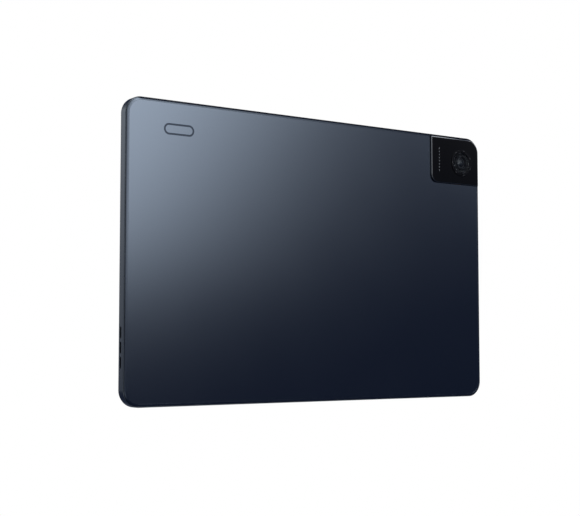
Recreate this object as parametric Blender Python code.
"""Tablet computer of the eleven-inch class, standing on its lower long edge.

The display faces -Y, the rear cover faces +Y, +X is right as seen from the display, and the origin is the
centre of the flat lower edge. Sizes below are in millimetres, and the meshes are scaled to metres.
"Depth" is measured from the outer face of the rear cover (0) to the front of the cover glass (THICKNESS).
"""

import math

import bmesh
import bpy
from mathutils import Matrix, Vector

MM = 0.001

# Overall size
WIDTH = 256.2
HEIGHT = 167.0
THICKNESS = 6.9
CORNER_RADIUS = 9.5
CORNER_STEPS = 8

# Edge profile of the mid frame and the seam around the rear cover
REAR_CHAMFER = 0.35
REAR_CHAMFER_DEPTH = 0.35
FRONT_CHAMFER = 0.5
LIP_WIDTH = 0.4
SEAM = 0.3
REAR_WALL = 2.2
FRONT_WALL = 6.5

# Layers, counted from the front
GLASS_THICKNESS = 0.7
GLASS_GAP = 0.3
LAYER_GAP = 0.1
PANEL_THICKNESS = 0.55
BACKLIGHT_THICKNESS = 0.65
FLEX_SPACE = 0.3
PLATE_THICKNESS = 0.4
ADHESIVE_THICKNESS = 0.25
ADHESIVE_GAP = 0.05
ADHESIVE_INSET = 0.3
ADHESIVE_WIDTH = 0.9
BEZEL_SIDE = 8.0
BEZEL_LONG = 7.5

# Rear cover
COVER_THICKNESS = 0.8
COVER_RIM_DEPTH = 1.0
COVER_BEVEL_WIDTH = 1.2
COVER_BEVEL_DEPTH = 0.55
INNER_GAP = 0.15

# Camera block
BLOCK_WIDTH = 41.3
BLOCK_HEIGHT = 30.8
BLOCK_RISE = 1.2
BLOCK_CORNER = 5.0
BLOCK_OUTER_INSET = 1.9
BLOCK_RIM = 0.35
BLOCK_INNER_LEAN = 0.15
WINDOW_THICKNESS = 0.65
LENS_FROM_SIDE = 16.2
LENS_FROM_TOP = 17.0
LENS_RING_RADIUS = 8.5
LENS_RING_LAP = 1.1
LENS_RING_WALL = 0.8
LENS_RING_RISE = 0.4
LENS_GLASS_THICKNESS = 0.5
LENS_STEPS = 40
CAMERA_BODY = 10.0
BARREL_RADIUS = 3.2
BARREL_LENGTH = 3.2
BARREL_CLEARANCE = 0.1
FOCUS_TRAVEL = 0.25

# Keys on the top edge
POWER_KEY_FROM_BLOCK = 8.9
POWER_KEY_LENGTH = 10.6
ROCKER_LENGTH = 21.5
KEY_SPACING = 4.9
KEY_WIDTH = 2.0
KEY_RISE = 0.3
KEY_CLEARANCE = 0.15
KEY_EDGE = 0.15
KEY_FLANGE = 1.0
KEY_FLANGE_THICKNESS = 0.5
KEY_PLAY = 0.3
SWITCH_LENGTH = 3.4
SWITCH_HEIGHT = 1.2
SWITCH_SPREAD = 0.75
NUB_HEIGHT = 0.4

# USB-C socket in the middle of the -X edge
USB_WIDTH = 8.94
USB_HEIGHT = 3.16
USB_WALL = 0.3
USB_LENGTH = 7.0
USB_CLEARANCE = 0.15
TONGUE_WIDTH = 6.6
TONGUE_THICKNESS = 0.7

# Card tray in the -X edge
TRAY_FACE_LENGTH = 16.0
TRAY_FACE_WIDTH = 2.2
TRAY_FACE_THICKNESS = 1.9
TRAY_CLEARANCE = 0.1
TRAY_LENGTH = 20.0
TRAY_THICKNESS = 0.9
TRAY_RIM = 1.0
SOCKET_HEIGHT = 1.85
SOCKET_WALL = 0.25
PIN_HOLE_RADIUS = 0.4

# Speakers, their slots and meshes
SLOT_COUNT = 3
SLOT_LENGTH = 6.1
SLOT_WIDTH = 1.6
SLOT_PITCH = 8.0
SLOT_CENTRE_HEIGHT = 31.9
SLOT_FROM_FRONT = 2.8
SPEAKER_WIDTH = 17.0
SPEAKER_LENGTH = 38.0
MESH_THICKNESS = 0.4
EAR_SIZE = 4.4
EAR_THICKNESS = 0.6

# Boards, shields and battery
BOARD_WIDTH = 51.5
BOARD_THICKNESS = 0.8
BOARD_MARGIN = 2.0
SHIELD_WALL = 0.2
SHIELD_GAP = 3.0
SHIELD_WIDTH = 21.0
CHIP_HEIGHT = 0.7
BATTERY_GAP = 2.0
BATTERY_BOARD_HEIGHT = 4.0
BATTERY_MARGIN = 12.0
FLEX_MARGIN = 1.5
FLEX_THICKNESS = 0.12
DISPLAY_FLEX_WIDTH = 22.0
CABLE_RADIUS = 0.5

# Screws
SCREW_HEAD_RADIUS = 1.3
SCREW_HEAD_HEIGHT = 0.5
SCREW_RADIUS = 0.7
SCREW_CLEARANCE = 0.15
SCREW_STEPS = 16
SCREW_INSET = 3.5

# Small parts behind the top bezel and in the corners
FRONT_CAMERA = 4.2
FRONT_CAMERA_LENS = 1.6
SENSOR_OFFSET = 12.0
SENSOR_SIZE = 3.0
POCKET_CLEARANCE = 0.3
MIC_OFFSET = 38.0
MIC_LENGTH = 3.6
MIC_HEIGHT = 1.2
MIC_HOLE_RADIUS = 0.5
ANTENNA_LENGTH = 28.0
ANTENNA_HEIGHT = 6.0
ANTENNA_THICKNESS = 1.0

# Places worked out from the sizes above
SIDE = WIDTH / 2
GLASS_BACK = THICKNESS - GLASS_THICKNESS
PANEL_FRONT = GLASS_BACK - LAYER_GAP
PANEL_BACK = PANEL_FRONT - PANEL_THICKNESS
BACKLIGHT_FRONT = PANEL_BACK - LAYER_GAP
BACKLIGHT_BACK = BACKLIGHT_FRONT - BACKLIGHT_THICKNESS
PLATE_FRONT = BACKLIGHT_BACK - FLEX_SPACE
PLATE_BACK = PLATE_FRONT - PLATE_THICKNESS
FRONT_LEDGE = GLASS_BACK - ADHESIVE_THICKNESS - 2 * ADHESIVE_GAP
GLASS_INSET = FRONT_CHAMFER + LIP_WIDTH + GLASS_GAP
COVER_INSET = REAR_CHAMFER + SEAM
REAR_LEDGE = COVER_RIM_DEPTH + ADHESIVE_THICKNESS + ADHESIVE_GAP
WALL_START = COVER_BEVEL_DEPTH + REAR_CHAMFER_DEPTH
BAY_BACK = COVER_THICKNESS + INNER_GAP + LAYER_GAP
BAY_FRONT = PLATE_BACK - INNER_GAP
BOARD_FRONT = PLATE_BACK - 2 * LAYER_GAP
BOARD_BACK = BOARD_FRONT - BOARD_THICKNESS
SHIELD_OPEN = BOARD_BACK - INNER_GAP
SHIELD_TOP = BAY_BACK + 2 * INNER_GAP
POCKET_FRONT = FRONT_LEDGE - 0.65
EDGE_DEPTH = THICKNESS / 2

BLOCK_INNER_X = -SIDE + BLOCK_WIDTH
BLOCK_BOTTOM = HEIGHT - BLOCK_HEIGHT
LENS_X = -SIDE + LENS_FROM_SIDE
LENS_Z = HEIGHT - LENS_FROM_TOP
WINDOW_SEAT = -BLOCK_RISE + WINDOW_THICKNESS
WINDOW_HOLE = LENS_RING_RADIUS - LENS_RING_LAP + LAYER_GAP

POWER_KEY_X = BLOCK_INNER_X + POWER_KEY_FROM_BLOCK + POWER_KEY_LENGTH / 2
ROCKER_X = POWER_KEY_X + POWER_KEY_LENGTH / 2 + KEY_SPACING + ROCKER_LENGTH / 2
WALL_BOTTOM = HEIGHT - REAR_WALL
FLANGE_TOP = WALL_BOTTOM - KEY_PLAY
FLANGE_BOTTOM = FLANGE_TOP - KEY_FLANGE_THICKNESS
NUB_BOTTOM = FLANGE_BOTTOM - NUB_HEIGHT
SWITCH_TOP = NUB_BOTTOM - KEY_PLAY
SWITCH_BOTTOM = SWITCH_TOP - SWITCH_HEIGHT
KEY_FLEX_TOP = SWITCH_BOTTOM - LAYER_GAP
BRACKET_TOP = KEY_FLEX_TOP - FLEX_THICKNESS - LAYER_GAP
BRACKET_THICKNESS = 0.4
KEY_ROW_START = POWER_KEY_X - POWER_KEY_LENGTH / 2 - KEY_FLANGE - 2.0
KEY_ROW_END = ROCKER_X + ROCKER_LENGTH / 2 + KEY_FLANGE + 2.0

USB_Z = HEIGHT / 2
INNER_SIDE = SIDE - REAR_WALL
SPEAKER_BOTTOM = SLOT_CENTRE_HEIGHT - SPEAKER_LENGTH / 2
SPEAKER_TOP = SLOT_CENTRE_HEIGHT + SPEAKER_LENGTH / 2
MESH_SIDE = INNER_SIDE - INNER_GAP
SPEAKER_SIDE = MESH_SIDE - MESH_THICKNESS - INNER_GAP
EAR_X = SPEAKER_SIDE - SPEAKER_WIDTH / 2

BOARD_LEFT = -INNER_SIDE + BOARD_MARGIN
BOARD_RIGHT = BOARD_LEFT + BOARD_WIDTH
BOARD_BOTTOM = SPEAKER_TOP + EAR_SIZE + 1.0
BOARD_TOP = BLOCK_BOTTOM - BOARD_MARGIN
USB_CUT = USB_WIDTH / 2 + 2 * POCKET_CLEARANCE
USB_END_X = -SIDE + USB_CLEARANCE + USB_LENGTH
CARD_Z = (USB_Z + USB_CUT + BOARD_TOP) / 2
SOCKET_SPAN = TRAY_FACE_LENGTH - TRAY_FACE_WIDTH + 2 * SOCKET_WALL + 0.4
SOCKET_FRONT = PLATE_BACK - LAYER_GAP
CARD_DEPTH = SOCKET_FRONT - SOCKET_HEIGHT / 2
SOCKET_START_X = -INNER_SIDE + POCKET_CLEARANCE
TRAY_END_X = -SIDE + TRAY_FACE_THICKNESS + TRAY_LENGTH
SOCKET_END_X = TRAY_END_X + 4 * POCKET_CLEARANCE
CARD_CUT = SOCKET_SPAN / 2 + 2 * POCKET_CLEARANCE

BATTERY_START_X = BOARD_RIGHT + 6.0
BATTERY_END_X = SPEAKER_SIDE - SPEAKER_WIDTH - BATTERY_GAP
BATTERY_BOARD_TOP = BOARD_TOP - SCREW_INSET - SCREW_HEAD_RADIUS - FLEX_MARGIN
BATTERY_BOARD_BOTTOM = BATTERY_BOARD_TOP - BATTERY_BOARD_HEIGHT
BATTERY_TOP = BATTERY_BOARD_BOTTOM - FLEX_MARGIN
DISPLAY_FLEX_TOP = BATTERY_BOARD_BOTTOM - FLEX_MARGIN
DISPLAY_FLEX_BOTTOM = DISPLAY_FLEX_TOP - DISPLAY_FLEX_WIDTH
SPEAKER_SCREW_DEPTH = PLATE_BACK - 2 * LAYER_GAP - EAR_THICKNESS
FRONT_PARTS_Z = HEIGHT - BEZEL_LONG + POCKET_CLEARANCE + LAYER_GAP + FRONT_CAMERA / 2
MIC_SIDE_Z = (USB_Z + USB_CUT + CARD_Z - CARD_CUT) / 2
BOARD_SCREWS = 4
SCREWS = tuple(
    (x, z, BOARD_BACK)
    for x in (BOARD_LEFT + 3.0, BOARD_RIGHT - 3.0)
    for z in (BOARD_BOTTOM + SCREW_INSET, BOARD_TOP - SCREW_INSET)
) + tuple(
    (sign * EAR_X, z, SPEAKER_SCREW_DEPTH)
    for sign in (-1, 1)
    for z in (SPEAKER_BOTTOM - EAR_SIZE / 2, SPEAKER_TOP + EAR_SIZE / 2)
)


# Shapes


def depth_to_y(depth):
    """Y of a plane at this depth behind the rear cover's outer face."""
    return THICKNESS / 2 - depth


def arc(centre, radius, start, end, steps):
    """Points of an arc, angles in degrees, both ends included."""
    turns = [math.radians(start + (end - start) * i / steps) for i in range(steps + 1)]
    return [(centre[0] + radius * math.cos(t), centre[1] + radius * math.sin(t)) for t in turns]


def circle(centre, radius, steps):
    """Points of a full circle, without a repeated last point."""
    return arc(centre, radius, 0, 360 - 360 / steps, steps - 1)


def rounded_rectangle(low, high, radii, steps=CORNER_STEPS):
    """Outline from low to high corner. radii are for the corners ++, -+, -- and +-; 0 leaves a sharp one."""
    corners = (
        (high[0], high[1], -1, -1),
        (low[0], high[1], 1, -1),
        (low[0], low[1], 1, 1),
        (high[0], low[1], -1, 1),
    )
    points = []
    for i, (a, b, inward_a, inward_b) in enumerate(corners):
        radius = radii[i]
        if radius <= 0:
            points.append((a, b))
        else:
            centre = (a + inward_a * radius, b + inward_b * radius)
            points += arc(centre, radius, 90 * i, 90 * (i + 1), steps)
    return points


def rectangle(low, high):
    """Sharp-cornered outline."""
    return rounded_rectangle(low, high, (0, 0, 0, 0))


def slot(centre, length, width, steps=CORNER_STEPS):
    """Outline of a slot with round ends, its length along the first coordinate."""
    half_length, half_width = length / 2, width / 2
    radius = half_width * 0.999
    low = (centre[0] - half_length, centre[1] - half_width)
    high = (centre[0] + half_length, centre[1] + half_width)
    return rounded_rectangle(low, high, (radius,) * 4, steps)


def tablet_outline(inset):
    """The tablet's outline in X and Z, moved inward by inset."""
    radius = max(CORNER_RADIUS - inset, 0.5)
    return rounded_rectangle((-SIDE + inset, inset), (SIDE - inset, HEIGHT - inset), (radius,) * 4)


def at_depth(outline, depth):
    """An X-Z outline as points at one depth."""
    return [(x, depth_to_y(depth), z) for x, z in outline]


def spread(outline, axis, level):
    """An outline as points. Axis y takes X-Z at a depth, x takes Z-depth at an x, z takes X-depth at a z."""
    if axis == "y":
        return at_depth(outline, level)
    if axis == "x":
        return [(level, depth_to_y(depth), z) for z, depth in outline]
    return [(x, depth_to_y(depth), level) for x, depth in outline]


# Objects and materials


def material(name, colour, roughness, metallic=0.0):
    """A Principled material, made once for each name."""
    found = bpy.data.materials.get(name)
    if found:
        return found
    made = bpy.data.materials.new(name)
    made.use_nodes = True
    shader = made.node_tree.nodes["Principled BSDF"]
    shader.inputs["Base Color"].default_value = (*colour, 1.0)
    shader.inputs["Roughness"].default_value = roughness
    shader.inputs["Metallic"].default_value = metallic
    made.diffuse_color = (*colour, 1.0)
    return made


def rear_metal():
    """Satin blue-grey metal of the rear cover."""
    return material("satin_blue_metal", (0.055, 0.075, 0.11), 0.42, 0.85)


def frame_metal():
    """Metal of the mid frame, the keys and the tray."""
    return material("frame_metal", (0.06, 0.075, 0.10), 0.4, 0.85)


def black_glass():
    """Black glass."""
    return material("black_glass", (0.008, 0.008, 0.01), 0.08)


def clear_glass():
    """Clear glass."""
    return material("clear_glass", (0.7, 0.75, 0.8), 0.05)


def steel():
    """Stamped steel."""
    return material("stamped_steel", (0.55, 0.55, 0.56), 0.35, 1.0)


def black_plastic():
    """Moulded black plastic."""
    return material("black_plastic", (0.02, 0.02, 0.022), 0.5)


def board_green():
    """Board laminate."""
    return material("board_laminate", (0.01, 0.06, 0.05), 0.45)


def flex_amber():
    """Amber film of the flexes."""
    return material("polyimide_flex", (0.25, 0.11, 0.02), 0.4)


def gold():
    """Gold-plated contact metal."""
    return material("plated_contact", (0.75, 0.55, 0.2), 0.3, 1.0)


def new_object(name, mesh_builder, finish, parent, origin=None):
    """An object from a bmesh in millimetres, with its origin at origin or at the centre of its box."""
    mesh = bpy.data.meshes.new(name)
    mesh_builder.to_mesh(mesh)
    mesh_builder.free()
    mesh.transform(Matrix.Scale(MM, 4))
    if origin is None:
        low = Vector(min(v.co[i] for v in mesh.vertices) for i in range(3))
        high = Vector(max(v.co[i] for v in mesh.vertices) for i in range(3))
        place = (low + high) / 2
    else:
        place = Vector(origin) * MM
    mesh.transform(Matrix.Translation(-place))
    made = bpy.data.objects.new(name, mesh)
    bpy.context.scene.collection.objects.link(made)
    made.location = place
    made.parent = parent
    if finish:
        mesh.materials.append(finish)
        mesh.shade_smooth()
        mesh.set_sharp_from_angle(angle=math.radians(30))
    return made


def skin(loops, closed=False):
    """A bmesh through loops of equal length, with flat ends, or joined end to end when closed."""
    mesh_builder = bmesh.new()
    rings = [[mesh_builder.verts.new(point) for point in loop] for loop in loops]
    pairs = list(zip(rings, rings[1:]))
    if closed:
        pairs.append((rings[-1], rings[0]))
    else:
        mesh_builder.faces.new(rings[0])
        mesh_builder.faces.new(rings[-1])
    for first, second in pairs:
        for i in range(len(first)):
            j = (i + 1) % len(first)
            mesh_builder.faces.new((first[i], first[j], second[j], second[i]))
    bmesh.ops.recalc_face_normals(mesh_builder, faces=mesh_builder.faces)
    return mesh_builder


def prism(name, outline, axis, start, end, finish, parent, origin=None):
    """A straight extrusion of an outline between two levels."""
    loops = [spread(outline, axis, start), spread(outline, axis, end)]
    return new_object(name, skin(loops), finish, parent, origin)


def outline_body(name, profile, finish, parent, closed=False, outline=tablet_outline):
    """A body swept round the tablet's outline from (inset, depth) pairs."""
    loops = [at_depth(outline(inset), depth) for inset, depth in profile]
    return new_object(name, skin(loops, closed), finish, parent)


def turned(name, centre, profile, finish, parent, closed=False, steps=LENS_STEPS, origin=None):
    """A body turned about a Y axis through centre, from (radius, depth) pairs."""
    loops = [at_depth(circle(centre, radius, steps), depth) for radius, depth in profile]
    return new_object(name, skin(loops, closed), finish, parent, origin)


def strip(name, path, axis, start, end, finish, parent):
    """A flexible circuit: a thin strip that follows path in the plane across axis."""
    half = FLEX_THICKNESS / 2
    left, right = [], []
    for i, point in enumerate(path):
        before = Vector(path[max(i - 1, 0)])
        after = Vector(path[min(i + 1, len(path) - 1)])
        here = Vector(point)
        arriving = (here - before).normalized() if i else (after - here).normalized()
        leaving = (after - here).normalized() if i < len(path) - 1 else arriving
        across = Vector((-(arriving + leaving).y, (arriving + leaving).x)).normalized()
        reach = half / max(across.dot(Vector((-arriving.y, arriving.x))), 0.5)
        left.append(tuple(here + across * reach))
        right.append(tuple(here - across * reach))
    return prism(name, left + right[::-1], axis, start, end, finish, parent)


def can(name, low, high, parent):
    """A stamped shield: a thin lid over an X-Z rectangle, open towards the board."""
    def outline(inset):
        radius = max(0.8 - inset, 0.3)
        return rounded_rectangle(
            (low[0] + inset, low[1] + inset), (high[0] - inset, high[1] - inset), (radius,) * 4, 2
        )
    profile = (
        (SHIELD_WALL, SHIELD_TOP + SHIELD_WALL),
        (SHIELD_WALL, SHIELD_OPEN),
        (0, SHIELD_OPEN),
        (0, SHIELD_TOP),
    )
    return outline_body(name, profile, steel(), parent, outline=outline)


def cable(name, route, parent):
    """A round cable on a smooth curve through the route's (x, z, depth) points."""
    ends = [route[0], *route, route[-1]]
    points = []
    for a, b, c, d in zip(ends, ends[1:], ends[2:], ends[3:]):
        for step in range(3):
            points.append(catmull_rom(a, b, c, d, step / 3))
    points.append(route[-1])
    curve = bpy.data.curves.new(name, "CURVE")
    curve.dimensions = "3D"
    curve.bevel_depth = CABLE_RADIUS * MM
    curve.bevel_resolution = 1
    curve.use_fill_caps = True
    spline = curve.splines.new("POLY")
    spline.points.add(len(points) - 1)
    for place, (x, z, depth) in zip(spline.points, points):
        place.co = (x * MM, depth_to_y(depth) * MM, z * MM, 1.0)
    curve.materials.append(black_plastic())
    made = bpy.data.objects.new(name, curve)
    bpy.context.scene.collection.objects.link(made)
    made.parent = parent
    return made


def catmull_rom(a, b, c, d, t):
    """A point between b and c on the curve through a, b, c and d."""
    return tuple(
        0.5 * (2 * q + (r - p) * t + (2 * p - 5 * q + 4 * r - s) * t**2 + (3 * q - p - 3 * r + s) * t**3)
        for p, q, r, s in zip(a, b, c, d)
    )


def boolean(target, other, operation):
    """A cut or a union with a helper that isn't a part itself."""
    modifier = target.modifiers.new(other.name, "BOOLEAN")
    modifier.solver = "EXACT"
    modifier.operation = operation
    modifier.object = other
    other.hide_render = True
    other.display_type = "WIRE"


def cut(target, *cutters):
    """Cuts helpers out of a piece."""
    for cutter in cutters:
        boolean(target, cutter, "DIFFERENCE")


def join(target, *pieces):
    """Joins helpers to a piece."""
    for piece in pieces:
        boolean(target, piece, "UNION")


def soften(target, width, segments=1):
    """Rounds a piece's edges."""
    modifier = target.modifiers.new("soften", "BEVEL")
    modifier.width = width * MM
    modifier.segments = segments
    modifier.limit_method = "ANGLE"
    modifier.angle_limit = math.radians(40)


def group(name, parent=None):
    """An empty that holds a sub-assembly."""
    made = bpy.data.objects.new(name, None)
    bpy.context.scene.collection.objects.link(made)
    made.parent = parent
    return made


# Sub-assemblies


def build_display(parent):
    """Cover glass, its adhesive, the panel, the backlight and the flex behind them."""
    glass_edge = GLASS_INSET
    outline_body(
        "cover_glass",
        (
            (glass_edge, GLASS_BACK),
            (glass_edge, THICKNESS - 0.35),
            (glass_edge + 0.12, THICKNESS - 0.15),
            (glass_edge + 0.35, THICKNESS - 0.04),
            (glass_edge + 0.8, THICKNESS),
        ),
        black_glass(),
        parent,
    )
    adhesive_front = GLASS_BACK - ADHESIVE_GAP
    adhesive_back = adhesive_front - ADHESIVE_THICKNESS
    outer = glass_edge + ADHESIVE_INSET
    inner = outer + ADHESIVE_WIDTH
    outline_body(
        "display_adhesive",
        ((outer, adhesive_front), (outer, adhesive_back), (inner, adhesive_back), (inner, adhesive_front)),
        black_plastic(),
        parent,
        closed=True,
    )
    low, high = (-SIDE + BEZEL_SIDE, BEZEL_LONG), (SIDE - BEZEL_SIDE, HEIGHT - BEZEL_LONG)
    panel = rounded_rectangle(low, high, (1.0,) * 4, 2)
    prism("display_panel", panel, "y", PANEL_BACK, PANEL_FRONT, black_glass(), parent)
    prism("backlight_unit", panel, "y", BACKLIGHT_BACK, BACKLIGHT_FRONT, steel(), parent)

    middle = PLATE_FRONT + FLEX_SPACE / 2
    path = (
        (BOARD_RIGHT + 7.0, middle),
        (BOARD_RIGHT + 2.2, middle),
        (BOARD_RIGHT + 1.6, middle - 0.5),
        (BOARD_RIGHT + 1.6, SHIELD_OPEN + 0.4),
        (BOARD_RIGHT + 1.0, SHIELD_OPEN - 0.1),
        (BOARD_RIGHT - 4.0, SHIELD_OPEN - 0.1),
    )
    # The strip's outline is in X and depth, and it runs along Z.
    strip("display_flex", path, "z", DISPLAY_FLEX_BOTTOM, DISPLAY_FLEX_TOP, flex_amber(), parent)
    sheet = rectangle((-SPEAKER_SIDE + SPEAKER_WIDTH + 4.0, BEZEL_LONG + 12.0), (SIDE / 2, CARD_Z - 20.0))
    prism("heat_spreader", sheet, "y", PLATE_FRONT + 0.06, PLATE_FRONT + 0.16, black_plastic(), parent)


def frame_cutters(parent):
    """Every opening in the mid frame, as helpers."""
    through_left = (-SIDE - 1.0, -INNER_SIDE + 0.5)
    cutters = []

    def opening(name, outline, axis, start, end):
        cutters.append(prism(f"cut_{name}", outline, axis, start, end, None, parent))

    usb_hole = slot((USB_Z, EDGE_DEPTH), USB_WIDTH + 2 * USB_CLEARANCE, USB_HEIGHT + 2 * USB_CLEARANCE)
    opening("usb_hole", usb_hole, "x", *through_left)
    usb_bay = rectangle((USB_Z - USB_CUT, REAR_LEDGE - 1.0), (USB_Z + USB_CUT, POCKET_FRONT))
    opening("usb_bay", usb_bay, "x", -INNER_SIDE, USB_END_X + POCKET_CLEARANCE)
    tray_hole = slot(
        (CARD_Z, CARD_DEPTH), TRAY_FACE_LENGTH + 2 * TRAY_CLEARANCE, TRAY_FACE_WIDTH + 2 * TRAY_CLEARANCE
    )
    opening("tray_hole", tray_hole, "x", *through_left)
    opening("mic_side", circle((MIC_SIDE_Z, EDGE_DEPTH), MIC_HOLE_RADIUS, 12), "x", *through_left)
    for sign, side in ((-1, "left"), (1, "right")):
        for i in range(SLOT_COUNT):
            height = SLOT_CENTRE_HEIGHT + (i - (SLOT_COUNT - 1) / 2) * SLOT_PITCH
            outline = slot((height, THICKNESS - SLOT_FROM_FRONT), SLOT_LENGTH, SLOT_WIDTH, 4)
            opening(f"slot_{side}_{i}", outline, "x", sign * (INNER_SIDE - 0.5), sign * (SIDE + 1.0))
        bay = rectangle(
            (SPEAKER_BOTTOM - POCKET_CLEARANCE, REAR_LEDGE - 1.0),
            (SPEAKER_TOP + POCKET_CLEARANCE, POCKET_FRONT),
        )
        inner_x = SPEAKER_SIDE - SPEAKER_WIDTH - POCKET_CLEARANCE
        opening(f"speaker_bay_{side}", bay, "x", sign * inner_x, sign * INNER_SIDE)
    for name, x, length in (("power", POWER_KEY_X, POWER_KEY_LENGTH), ("rocker", ROCKER_X, ROCKER_LENGTH)):
        window = slot((x, EDGE_DEPTH), length + 2 * KEY_CLEARANCE, KEY_WIDTH + 2 * KEY_CLEARANCE)
        opening(f"{name}_window", window, "z", WALL_BOTTOM - 0.5, HEIGHT + 1.0)
    bay_bottom = BRACKET_TOP - BRACKET_THICKNESS - POCKET_CLEARANCE
    key_bay = rectangle((KEY_ROW_START, bay_bottom), (KEY_ROW_END, WALL_BOTTOM))
    opening("key_bay", key_bay, "y", REAR_LEDGE - 1.0, POCKET_FRONT)
    mic_hole = circle((MIC_OFFSET, EDGE_DEPTH), MIC_HOLE_RADIUS, 12)
    opening("mic_top", mic_hole, "z", WALL_BOTTOM - 0.5, HEIGHT + 1.0)
    for name, x, size in (("front_camera", 0.0, FRONT_CAMERA), ("sensor", SENSOR_OFFSET, SENSOR_SIZE)):
        half = size / 2 + POCKET_CLEARANCE
        pocket = rectangle((x - half, FRONT_PARTS_Z - half), (x + half, FRONT_PARTS_Z + half))
        opening(f"{name}_pocket", pocket, "y", REAR_LEDGE - 1.0, FRONT_LEDGE + 1.0)
    flex_slot = rectangle(
        (BOARD_RIGHT + 0.8, DISPLAY_FLEX_BOTTOM - 1.0),
        (BOARD_RIGHT + 2.8, DISPLAY_FLEX_TOP + 1.0),
    )
    opening("flex_slot", flex_slot, "y", PLATE_BACK - 0.5, PLATE_FRONT + 0.5)
    for i, (x, z, _) in enumerate(SCREWS):
        hole = circle((x, z), SCREW_RADIUS + SCREW_CLEARANCE, SCREW_STEPS)
        opening(f"screw_{i}", hole, "y", PLATE_BACK - 0.5, PLATE_FRONT + 0.1)
    return cutters


def build_frame(parent):
    """The mid frame: side wall, display ledge, rear ledge and the plate between, in one casting."""
    lip_inset = FRONT_CHAMFER + LIP_WIDTH
    profile = (
        (REAR_WALL, PLATE_BACK),
        (REAR_WALL, REAR_LEDGE),
        (REAR_CHAMFER, REAR_LEDGE),
        (REAR_CHAMFER, COVER_BEVEL_DEPTH),
        (0, WALL_START),
        (0, THICKNESS - 0.3 - FRONT_CHAMFER),
        (FRONT_CHAMFER, THICKNESS - 0.3),
        (lip_inset, THICKNESS - 0.3),
        (lip_inset, FRONT_LEDGE),
        (FRONT_WALL, FRONT_LEDGE),
        (FRONT_WALL, PLATE_FRONT),
    )
    frame = outline_body("mid_frame", profile, frame_metal(), parent)
    cut(frame, *frame_cutters(parent))


def block_outline(outer_inset, inner_inset):
    """The camera block's outline: it follows the tablet's corner, and has one round corner inside."""
    outer_radius = max(CORNER_RADIUS - outer_inset, 0.5)
    return rounded_rectangle(
        (-SIDE + outer_inset, BLOCK_BOTTOM + inner_inset),
        (BLOCK_INNER_X - inner_inset, HEIGHT - outer_inset),
        (0, outer_radius, 0, BLOCK_CORNER - inner_inset),
    )


def build_rear_cover(parent):
    """The pressed rear cover with its bevelled rim, and the adhesive that holds it."""
    bevel_foot = COVER_INSET + COVER_BEVEL_WIDTH
    profile = (
        (bevel_foot, 0),
        (COVER_INSET + 0.45 * COVER_BEVEL_WIDTH, 0.3 * COVER_BEVEL_DEPTH),
        (COVER_INSET, COVER_BEVEL_DEPTH),
        (COVER_INSET, COVER_RIM_DEPTH),
        (bevel_foot + 0.3, COVER_RIM_DEPTH),
        (bevel_foot + 0.6, COVER_THICKNESS),
    )
    cover = outline_body("rear_cover", profile, rear_metal(), parent)
    reach = 5.0
    corner = rounded_rectangle(
        (-SIDE - reach, BLOCK_BOTTOM - SEAM),
        (BLOCK_INNER_X + SEAM, HEIGHT + reach),
        (0, 0, 0, BLOCK_CORNER + SEAM),
    )
    cut(cover, prism("cut_camera_corner", corner, "y", -1.0, COVER_RIM_DEPTH + 1.0, None, parent))
    adhesive_back = COVER_RIM_DEPTH + ADHESIVE_GAP / 2
    adhesive_front = REAR_LEDGE - ADHESIVE_GAP / 2
    inner, outer = REAR_WALL - 0.2, COVER_INSET + 0.1
    outline_body(
        "rear_cover_adhesive",
        ((outer, adhesive_front), (outer, adhesive_back), (inner, adhesive_back), (inner, adhesive_front)),
        black_plastic(),
        parent,
        closed=True,
    )


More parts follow.
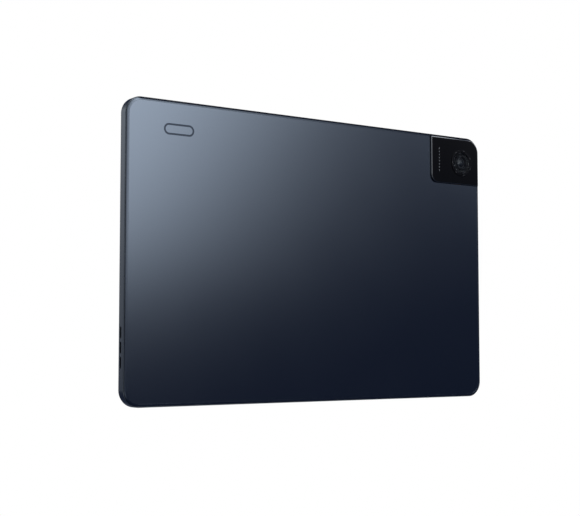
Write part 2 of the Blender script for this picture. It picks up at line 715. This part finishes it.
def build_camera_block(parent):
    """The raised surround, the black window, the lens ring and glass, and the focusing camera below."""
    rim_top = -BLOCK_RISE + 0.12
    loops = [
        at_depth(block_outline(COVER_INSET, 0), COVER_RIM_DEPTH),
        at_depth(block_outline(COVER_INSET, 0), COVER_BEVEL_DEPTH),
        at_depth(block_outline(BLOCK_OUTER_INSET - 0.35, 0), rim_top + 0.15),
        at_depth(block_outline(BLOCK_OUTER_INSET, BLOCK_INNER_LEAN), rim_top),
        at_depth(block_outline(BLOCK_OUTER_INSET + BLOCK_RIM, BLOCK_INNER_LEAN + BLOCK_RIM), rim_top),
        at_depth(block_outline(BLOCK_OUTER_INSET + BLOCK_RIM, BLOCK_INNER_LEAN + BLOCK_RIM), WINDOW_SEAT),
    ]
    polished = material("polished_surround", (0.5, 0.52, 0.54), 0.12, 1.0)
    deco = new_object("camera_surround", skin(loops), polished, parent)
    half = CAMERA_BODY / 2 + POCKET_CLEARANCE
    well = rectangle((LENS_X - half, LENS_Z - half), (LENS_X + half, LENS_Z + half))
    cut(deco, prism("cut_camera_well", well, "y", WINDOW_SEAT - 0.5, COVER_RIM_DEPTH + 1.0, None, parent))

    window_inset = BLOCK_RIM + LAYER_GAP
    window_outer = BLOCK_OUTER_INSET + window_inset
    window_inner = BLOCK_INNER_LEAN + window_inset
    edge = 0.12
    loops = [
        at_depth(block_outline(window_outer, window_inner), WINDOW_SEAT - LAYER_GAP / 2),
        at_depth(block_outline(window_outer, window_inner), -BLOCK_RISE + edge),
        at_depth(block_outline(window_outer + edge, window_inner + edge), -BLOCK_RISE),
    ]
    window = new_object("camera_window", skin(loops), black_glass(), parent)
    hole = circle((LENS_X, LENS_Z), WINDOW_HOLE, LENS_STEPS)
    cut(window, prism("cut_lens_hole", hole, "y", -BLOCK_RISE - 1.0, WINDOW_SEAT + 1.0, None, parent))

    centre = (LENS_X, LENS_Z)
    flange = -BLOCK_RISE - ADHESIVE_GAP
    crown = flange - LENS_RING_RISE
    sleeve = LENS_RING_RADIUS - LENS_RING_LAP
    bore = sleeve - LENS_RING_WALL
    turned(
        "lens_ring",
        centre,
        (
            (bore, WINDOW_SEAT - LAYER_GAP / 2),
            (sleeve, WINDOW_SEAT - LAYER_GAP / 2),
            (sleeve, flange),
            (LENS_RING_RADIUS, flange),
            (LENS_RING_RADIUS, crown + 0.2),
            (LENS_RING_RADIUS - 0.2, crown),
            (bore + 0.3, crown),
            (bore, crown + 0.3),
        ),
        material("lens_ring_metal", (0.03, 0.03, 0.035), 0.2, 1.0),
        parent,
        closed=True,
    )
    glass_radius = bore - LAYER_GAP
    glass_outer = crown + 0.15
    turned(
        "lens_glass",
        centre,
        (
            (glass_radius, glass_outer + LENS_GLASS_THICKNESS),
            (glass_radius, glass_outer + 0.1),
            (glass_radius - 0.1, glass_outer),
        ),
        black_glass(),
        parent,
    )

    body_back = WINDOW_SEAT + 2 * POCKET_CLEARANCE
    half = CAMERA_BODY / 2
    outline = rounded_rectangle((LENS_X - half, LENS_Z - half), (LENS_X + half, LENS_Z + half), (0.8,) * 4, 2)
    body = prism("rear_camera_body", outline, "y", body_back, BAY_FRONT, black_plastic(), parent)
    bore_radius = BARREL_RADIUS + BARREL_CLEARANCE
    barrel_back = glass_outer + LENS_GLASS_THICKNESS + FOCUS_TRAVEL + 0.2
    barrel_front = barrel_back + BARREL_LENGTH
    cut(
        body,
        prism(
            "cut_barrel_bore",
            circle(centre, bore_radius, 24),
            "y",
            body_back - 1.0,
            barrel_front + 0.3,
            None,
            parent,
        ),
    )
    turned(
        "rear_camera_barrel",
        centre,
        (
            (BARREL_RADIUS, barrel_front),
            (BARREL_RADIUS, barrel_back + 0.2),
            (BARREL_RADIUS - 0.2, barrel_back),
            (BARREL_RADIUS - 0.8, barrel_back),
            (BARREL_RADIUS - 1.4, barrel_back + 0.5),
        ),
        black_plastic(),
        parent,
        steps=24,
        origin=(LENS_X, depth_to_y(barrel_front), LENS_Z),
    )
    flex_start = LENS_Z - half - 0.2
    path = (
        (flex_start, BAY_FRONT - 0.2),
        (BOARD_TOP + 3.0, BAY_FRONT - 0.2),
        (BOARD_TOP + 1.2, SHIELD_OPEN - 0.1),
        (BOARD_TOP - 5.0, SHIELD_OPEN - 0.1),
    )
    strip("rear_camera_flex", path, "x", LENS_X - 3.5, LENS_X + 4.5, flex_amber(), parent)


def build_front_parts(parent):
    """Front camera and light sensor behind the display's top border."""
    half = FRONT_CAMERA / 2
    lens_back = GLASS_BACK - 4 * LAYER_GAP
    square = rectangle((-half, FRONT_PARTS_Z - half), (half, FRONT_PARTS_Z + half))
    camera = prism("front_camera", square, "y", EDGE_DEPTH - 0.6, lens_back, black_plastic(), parent)
    barrel = circle((0.0, FRONT_PARTS_Z), FRONT_CAMERA_LENS, 20)
    join(camera, prism("add_front_lens", barrel, "y", lens_back - 0.5, GLASS_BACK - LAYER_GAP, None, parent))
    half = SENSOR_SIZE / 2
    square = rectangle(
        (SENSOR_OFFSET - half, FRONT_PARTS_Z - half),
        (SENSOR_OFFSET + half, FRONT_PARTS_Z + half),
    )
    prism("light_sensor", square, "y", GLASS_BACK - 1.6, GLASS_BACK - LAYER_GAP, clear_glass(), parent)


def build_boards(parent):
    """Main board with its cut-outs, two chips and four shields."""
    usb_low, usb_high = USB_Z - USB_CUT, USB_Z + USB_CUT
    card_low, card_high = CARD_Z - CARD_CUT, CARD_Z + CARD_CUT
    usb_in, card_in = USB_END_X + 2 * POCKET_CLEARANCE, SOCKET_END_X + 2 * POCKET_CLEARANCE
    outline = (
        (BOARD_LEFT, BOARD_BOTTOM),
        (BOARD_RIGHT, BOARD_BOTTOM),
        (BOARD_RIGHT, BOARD_TOP),
        (BOARD_LEFT, BOARD_TOP),
        (BOARD_LEFT, card_high), (card_in, card_high), (card_in, card_low), (BOARD_LEFT, card_low),
        (BOARD_LEFT, usb_high), (usb_in, usb_high), (usb_in, usb_low), (BOARD_LEFT, usb_low),
    )
    board = prism("main_board", outline, "y", BOARD_BACK, BOARD_FRONT, board_green(), parent)
    for i, (x, z, depth) in enumerate(SCREWS[:BOARD_SCREWS]):
        hole = circle((x, z), SCREW_RADIUS + SCREW_CLEARANCE, SCREW_STEPS)
        cut(board, prism(f"cut_board_hole_{i}", hole, "y", depth - 0.5, BOARD_FRONT + 0.5, None, parent))

    column_right = BOARD_RIGHT - 6.5
    column_left = column_right - SHIELD_WIDTH
    names = ("processor_shield", "memory_shield", "power_shield")
    bottom, top = BOARD_BOTTOM + 4.0, BOARD_TOP - 7.0
    height = (top - bottom - (len(names) - 1) * SHIELD_GAP) / len(names)
    chips = {"processor_shield": ("processor", 12.0), "memory_shield": ("storage_chip", 10.0)}
    for i, name in enumerate(names):
        low = bottom + i * (height + SHIELD_GAP)
        can(name, (column_left, low), (column_right, low + height), parent)
        if name in chips:
            chip, size = chips[name]
            x, z = (column_left + column_right) / 2, low + height / 2
            half = min(size, height - 3.0) / 2
            square = rectangle((x - half, z - half), (x + half, z + half))
            prism(chip, square, "y", SHIELD_OPEN - CHIP_HEIGHT, SHIELD_OPEN, black_plastic(), parent)
    can(
        "radio_shield",
        (BOARD_LEFT + 5.0, BOARD_BOTTOM + 4.0),
        (column_left - SHIELD_GAP, usb_low - BOARD_MARGIN),
        parent,
    )


def build_usb(parent):
    """USB-C shell, open at the edge, and the tongue inside it."""
    mouth_x = -SIDE + USB_CLEARANCE
    centre = (USB_Z, EDGE_DEPTH)
    shell = prism(
        "usb_c_shell",
        slot(centre, USB_WIDTH, USB_HEIGHT),
        "x",
        mouth_x,
        mouth_x + USB_LENGTH,
        steel(),
        parent,
    )
    hollow = slot(centre, USB_WIDTH - 2 * USB_WALL, USB_HEIGHT - 2 * USB_WALL)
    back = mouth_x + USB_LENGTH - USB_WALL
    cut(shell, prism("cut_usb_hollow", hollow, "x", mouth_x - 1.0, back, None, parent))
    tongue = rectangle(
        (USB_Z - TONGUE_WIDTH / 2, EDGE_DEPTH - TONGUE_THICKNESS / 2),
        (USB_Z + TONGUE_WIDTH / 2, EDGE_DEPTH + TONGUE_THICKNESS / 2),
    )
    prism("usb_c_tongue", tongue, "x", mouth_x + 0.8, back - LAYER_GAP, black_plastic(), parent)


def build_battery(parent):
    """Two pouch cells side by side, their protection board and its flex."""
    width = (BATTERY_END_X - BATTERY_START_X - BATTERY_GAP) / 2
    for i, side in enumerate(("left", "right")):
        start = BATTERY_START_X + i * (width + BATTERY_GAP)
        outline = rounded_rectangle((start, BATTERY_MARGIN), (start + width, BATTERY_TOP), (1.5,) * 4, 3)
        cell = prism(
            f"battery_cell_{side}",
            outline,
            "y",
            BAY_BACK,
            BAY_FRONT,
            material("battery_pouch", (0.03, 0.03, 0.035), 0.4),
            parent,
        )
        soften(cell, 0.5)
    bottom, top = BATTERY_BOARD_BOTTOM, BATTERY_BOARD_TOP
    strip_board = rectangle((BATTERY_START_X, bottom), (BATTERY_END_X, top))
    prism("battery_board", strip_board, "y", BOARD_BACK - 0.5, BOARD_FRONT, board_green(), parent)
    over = SHIELD_OPEN - 0.5
    path = (
        (BATTERY_START_X + 8.0, over),
        (BATTERY_START_X - 1.5, over),
        (BOARD_RIGHT + 1.0, SHIELD_OPEN - 0.1),
        (BOARD_RIGHT - 4.0, SHIELD_OPEN - 0.1),
    )
    strip("battery_flex", path, "z", bottom, top, flex_amber(), parent)


def build_audio(parent):
    """Two speakers behind the edge slots, their dust meshes, a cable and two microphones."""
    slot_depth = THICKNESS - SLOT_FROM_FRONT
    for sign, side in ((-1, "left"), (1, "right")):
        xs = sorted((sign * (SPEAKER_SIDE - SPEAKER_WIDTH), sign * SPEAKER_SIDE))
        box = rounded_rectangle((xs[0], SPEAKER_BOTTOM), (xs[1], SPEAKER_TOP), (1.5,) * 4, 3)
        speaker_front = BACKLIGHT_BACK - INNER_GAP
        speaker = prism(f"speaker_{side}", box, "y", REAR_LEDGE, speaker_front, black_plastic(), parent)
        for i, (low, high) in enumerate(
            ((SPEAKER_TOP - 2.0, SPEAKER_TOP + EAR_SIZE), (SPEAKER_BOTTOM - EAR_SIZE, SPEAKER_BOTTOM + 2.0))
        ):
            ear = rectangle((sign * EAR_X - EAR_SIZE / 2, low), (sign * EAR_X + EAR_SIZE / 2, high))
            join(
                speaker,
                prism(
                    f"add_ear_{side}_{i}",
                    ear,
                    "y",
                    SPEAKER_SCREW_DEPTH,
                    SPEAKER_SCREW_DEPTH + EAR_THICKNESS,
                    None,
                    parent,
                ),
            )
        for i, (x, z, depth) in enumerate(SCREWS[BOARD_SCREWS:]):
            if x * sign > 0:
                hole = circle((x, z), SCREW_RADIUS + SCREW_CLEARANCE, SCREW_STEPS)
                cut(speaker, prism(f"cut_ear_{side}_{i}", hole, "y", depth - 0.3, PLATE_BACK, None, parent))
        half = ((SLOT_COUNT - 1) * SLOT_PITCH + SLOT_LENGTH) / 2 + 1.0
        patch = rectangle(
            (SLOT_CENTRE_HEIGHT - half, slot_depth - SLOT_WIDTH / 2 - 0.4),
            (SLOT_CENTRE_HEIGHT + half, slot_depth + SLOT_WIDTH / 2 + 0.2),
        )
        xs = sorted((sign * MESH_SIDE, sign * (MESH_SIDE - MESH_THICKNESS)))
        prism(f"speaker_mesh_{side}", patch, "x", xs[0], xs[1], steel(), parent)
    start_x, end_x = BOARD_RIGHT - 14.0, SPEAKER_SIDE - SPEAKER_WIDTH
    low_z, depth = BATTERY_MARGIN - 4.0, BOARD_BACK - 0.5
    cable(
        "speaker_cable",
        (
            (start_x, BOARD_BOTTOM - 1.2, depth),
            (start_x, BOARD_BOTTOM - 14.0, depth),
            (start_x + 4.0, low_z + 5.0, depth),
            (start_x + 16.0, low_z, depth),
            (0.0, low_z, depth),
            (end_x - 14.0, low_z, depth),
            (end_x - 2.0, low_z + 0.3, depth),
            (end_x + 2.0, SPEAKER_BOTTOM - 2.6, depth),
            (end_x + 3.0, SPEAKER_BOTTOM - 0.8, depth),
        ),
        parent,
    )
    top = rectangle(
        (MIC_OFFSET - MIC_LENGTH / 2, EDGE_DEPTH - MIC_HEIGHT),
        (MIC_OFFSET + MIC_LENGTH / 2, EDGE_DEPTH + 0.5),
    )
    prism("microphone_top", top, "z", WALL_BOTTOM - 0.3 - MIC_HEIGHT, WALL_BOTTOM - 0.3, steel(), parent)
    side = rectangle(
        (MIC_SIDE_Z - MIC_LENGTH / 2, EDGE_DEPTH - MIC_HEIGHT),
        (MIC_SIDE_Z + MIC_LENGTH / 2, EDGE_DEPTH + 0.5),
    )
    prism("microphone_side", side, "x", -INNER_SIDE + 0.3, -INNER_SIDE + 0.3 + MIC_HEIGHT, steel(), parent)


def build_key(name, x, length, nub_offsets, origin, parent):
    """A key cap in the wall, its flange inside, and nubs over the switches."""
    cap = slot((x, EDGE_DEPTH), length, KEY_WIDTH)
    key = prism(name, cap, "z", FLANGE_BOTTOM + 0.2, HEIGHT + KEY_RISE, frame_metal(), parent, origin)
    half = KEY_WIDTH / 2 + 0.5
    flange = rectangle(
        (x - length / 2 - KEY_FLANGE, EDGE_DEPTH - half), (x + length / 2 + KEY_FLANGE, EDGE_DEPTH + half)
    )
    pieces = [prism(f"add_{name}_flange", flange, "z", FLANGE_BOTTOM, FLANGE_TOP, None, parent)]
    for i, offset in enumerate(nub_offsets):
        nub = circle((x + offset, EDGE_DEPTH), 0.6, 12)
        pieces.append(prism(f"add_{name}_nub_{i}", nub, "z", NUB_BOTTOM, FLANGE_BOTTOM + 0.2, None, parent))
    soften(key, KEY_EDGE)
    join(key, *pieces)


def build_keys(parent):
    """Power key, volume rocker, their switches, flex and bracket."""
    spread_x = SWITCH_SPREAD * ROCKER_LENGTH / 2
    key_origin = (POWER_KEY_X, depth_to_y(EDGE_DEPTH), HEIGHT)
    build_key("power_key", POWER_KEY_X, POWER_KEY_LENGTH, (0.0,), key_origin, parent)
    build_key(
        "volume_rocker", ROCKER_X, ROCKER_LENGTH, (-spread_x, spread_x),
        (ROCKER_X, depth_to_y(EDGE_DEPTH), FLANGE_BOTTOM), parent,
    )
    switches = (
        ("power_switch", POWER_KEY_X),
        ("volume_up_switch", ROCKER_X - spread_x),
        ("volume_down_switch", ROCKER_X + spread_x),
    )
    for name, x in switches:
        body = rectangle(
            (x - SWITCH_LENGTH / 2, EDGE_DEPTH - 1.3), (x + SWITCH_LENGTH / 2, EDGE_DEPTH + 1.3)
        )
        switch = prism(name, body, "z", SWITCH_BOTTOM, SWITCH_TOP - 0.3, steel(), parent)
        dome = circle((x, EDGE_DEPTH), 0.8, 12)
        join(switch, prism(f"add_{name}_dome", dome, "z", SWITCH_TOP - 0.6, SWITCH_TOP, None, parent))
    band = rectangle((KEY_ROW_START + 1.0, EDGE_DEPTH - 1.5), (KEY_ROW_END - 1.0, EDGE_DEPTH + 1.5))
    prism("key_flex", band, "z", KEY_FLEX_TOP - FLEX_THICKNESS, KEY_FLEX_TOP, flex_amber(), parent)
    prism("key_bracket", band, "z", BRACKET_TOP - BRACKET_THICKNESS, BRACKET_TOP, steel(), parent)


def build_card_reader(parent):
    """The tray with its face plate in the edge, and the stamped socket that guides it."""
    face_inner = -SIDE + TRAY_FACE_THICKNESS
    face = slot((CARD_Z, CARD_DEPTH), TRAY_FACE_LENGTH, TRAY_FACE_WIDTH)
    tray = prism("card_tray", face, "x", -SIDE, face_inner, frame_metal(), parent)
    span = TRAY_FACE_LENGTH - TRAY_FACE_WIDTH - 0.8
    low, high = CARD_Z - span / 2, CARD_Z + span / 2
    bed = rectangle((low, CARD_DEPTH - TRAY_THICKNESS / 2), (high, CARD_DEPTH + TRAY_THICKNESS / 2))
    join(tray, prism("add_tray_bed", bed, "x", face_inner - 0.5, TRAY_END_X, None, parent))
    well = rectangle(
        (face_inner + 1.5, low + TRAY_RIM), (TRAY_END_X - TRAY_RIM, high - TRAY_RIM)
    )
    pin = circle((CARD_Z + TRAY_FACE_LENGTH / 2 - TRAY_FACE_WIDTH / 2, CARD_DEPTH), PIN_HOLE_RADIUS, 12)
    cut(
        tray,
        prism("cut_tray_well", well, "y", CARD_DEPTH - 1.0, CARD_DEPTH + 1.0, None, parent),
        prism("cut_pin_hole", pin, "x", -SIDE - 1.0, face_inner + 0.2, None, parent),
    )
    half_span, half_height = SOCKET_SPAN / 2, SOCKET_HEIGHT / 2
    shell = rectangle(
        (CARD_Z - half_span, CARD_DEPTH - half_height),
        (CARD_Z + half_span, CARD_DEPTH + half_height),
    )
    socket = prism("card_socket", shell, "x", SOCKET_START_X, SOCKET_END_X, steel(), parent)
    inner_span, inner_height = half_span - SOCKET_WALL, half_height - SOCKET_WALL
    hollow = rectangle(
        (CARD_Z - inner_span, CARD_DEPTH - inner_height), (CARD_Z + inner_span, CARD_DEPTH + inner_height)
    )
    socket_inner_end = SOCKET_END_X - SOCKET_WALL
    cut(socket, prism("cut_socket", hollow, "x", SOCKET_START_X - 1.0, socket_inner_end, None, parent))


def build_antennas(parent):
    """Two antenna carriers near the top corners and the cable that feeds the far one."""
    top = HEIGHT - REAR_WALL - 1.2
    low_z = top - ANTENNA_HEIGHT
    far_end = INNER_SIDE - 9.0
    near_start = LENS_X + CAMERA_BODY / 2 + 2.0
    near_end = KEY_ROW_START - 1.5
    for name, start, end in (
        ("wifi_antenna_right", far_end - ANTENNA_LENGTH, far_end), ("wifi_antenna_left", near_start, near_end)
    ):
        outline = rounded_rectangle((start, low_z), (end, top), (1.0,) * 4, 2)
        prism(name, outline, "y", REAR_LEDGE + 0.1, REAR_LEDGE + 0.1 + ANTENNA_THICKNESS, gold(), parent)
    depth = BOARD_BACK - 0.5
    run_z = BRACKET_TOP - BRACKET_THICKNESS - 3.5
    start_x = BOARD_RIGHT - 11.0
    cable(
        "antenna_cable",
        (
            (start_x, BOARD_TOP + 1.0, depth),
            (start_x, BOARD_TOP + 8.0, depth),
            (start_x + 3.0, run_z - 6.0, depth),
            (start_x + 12.0, run_z, depth),
            (0.0, run_z, depth),
            (far_end - ANTENNA_LENGTH - 20.0, run_z, depth),
            (far_end - ANTENNA_LENGTH - 8.0, run_z, depth),
            (far_end - ANTENNA_LENGTH - 1.2, run_z + 0.5, depth),
        ),
        parent,
    )


def build_screws(parent):
    """Pan-head screws through the board and the speaker ears into the plate."""
    for i, (x, z, depth) in enumerate(SCREWS):
        turned(
            f"screw_{i + 1}",
            (x, z),
            (
                (SCREW_HEAD_RADIUS - 0.25, depth - LAYER_GAP - SCREW_HEAD_HEIGHT),
                (SCREW_HEAD_RADIUS, depth - LAYER_GAP - SCREW_HEAD_HEIGHT + 0.2),
                (SCREW_HEAD_RADIUS, depth - LAYER_GAP),
                (SCREW_RADIUS, depth - LAYER_GAP),
                (SCREW_RADIUS, PLATE_FRONT - LAYER_GAP),
            ),
            steel(),
            parent,
            steps=SCREW_STEPS,
        )


def main():
    """Builds the tablet, one group for each sub-assembly."""
    for old in list(bpy.data.objects):
        bpy.data.objects.remove(old)
    tablet = group("tablet")
    build_frame(group("frame_group", tablet))
    build_rear_cover(group("rear_group", tablet))
    build_display(group("display_group", tablet))
    build_camera_block(group("camera_group", tablet))
    build_front_parts(group("front_group", tablet))
    build_boards(group("board_group", tablet))
    build_usb(group("usb_group", tablet))
    build_battery(group("battery_group", tablet))
    build_audio(group("audio_group", tablet))
    build_keys(group("key_group", tablet))
    build_card_reader(group("card_group", tablet))
    build_antennas(group("antenna_group", tablet))
    build_screws(group("screw_group", tablet))


main()
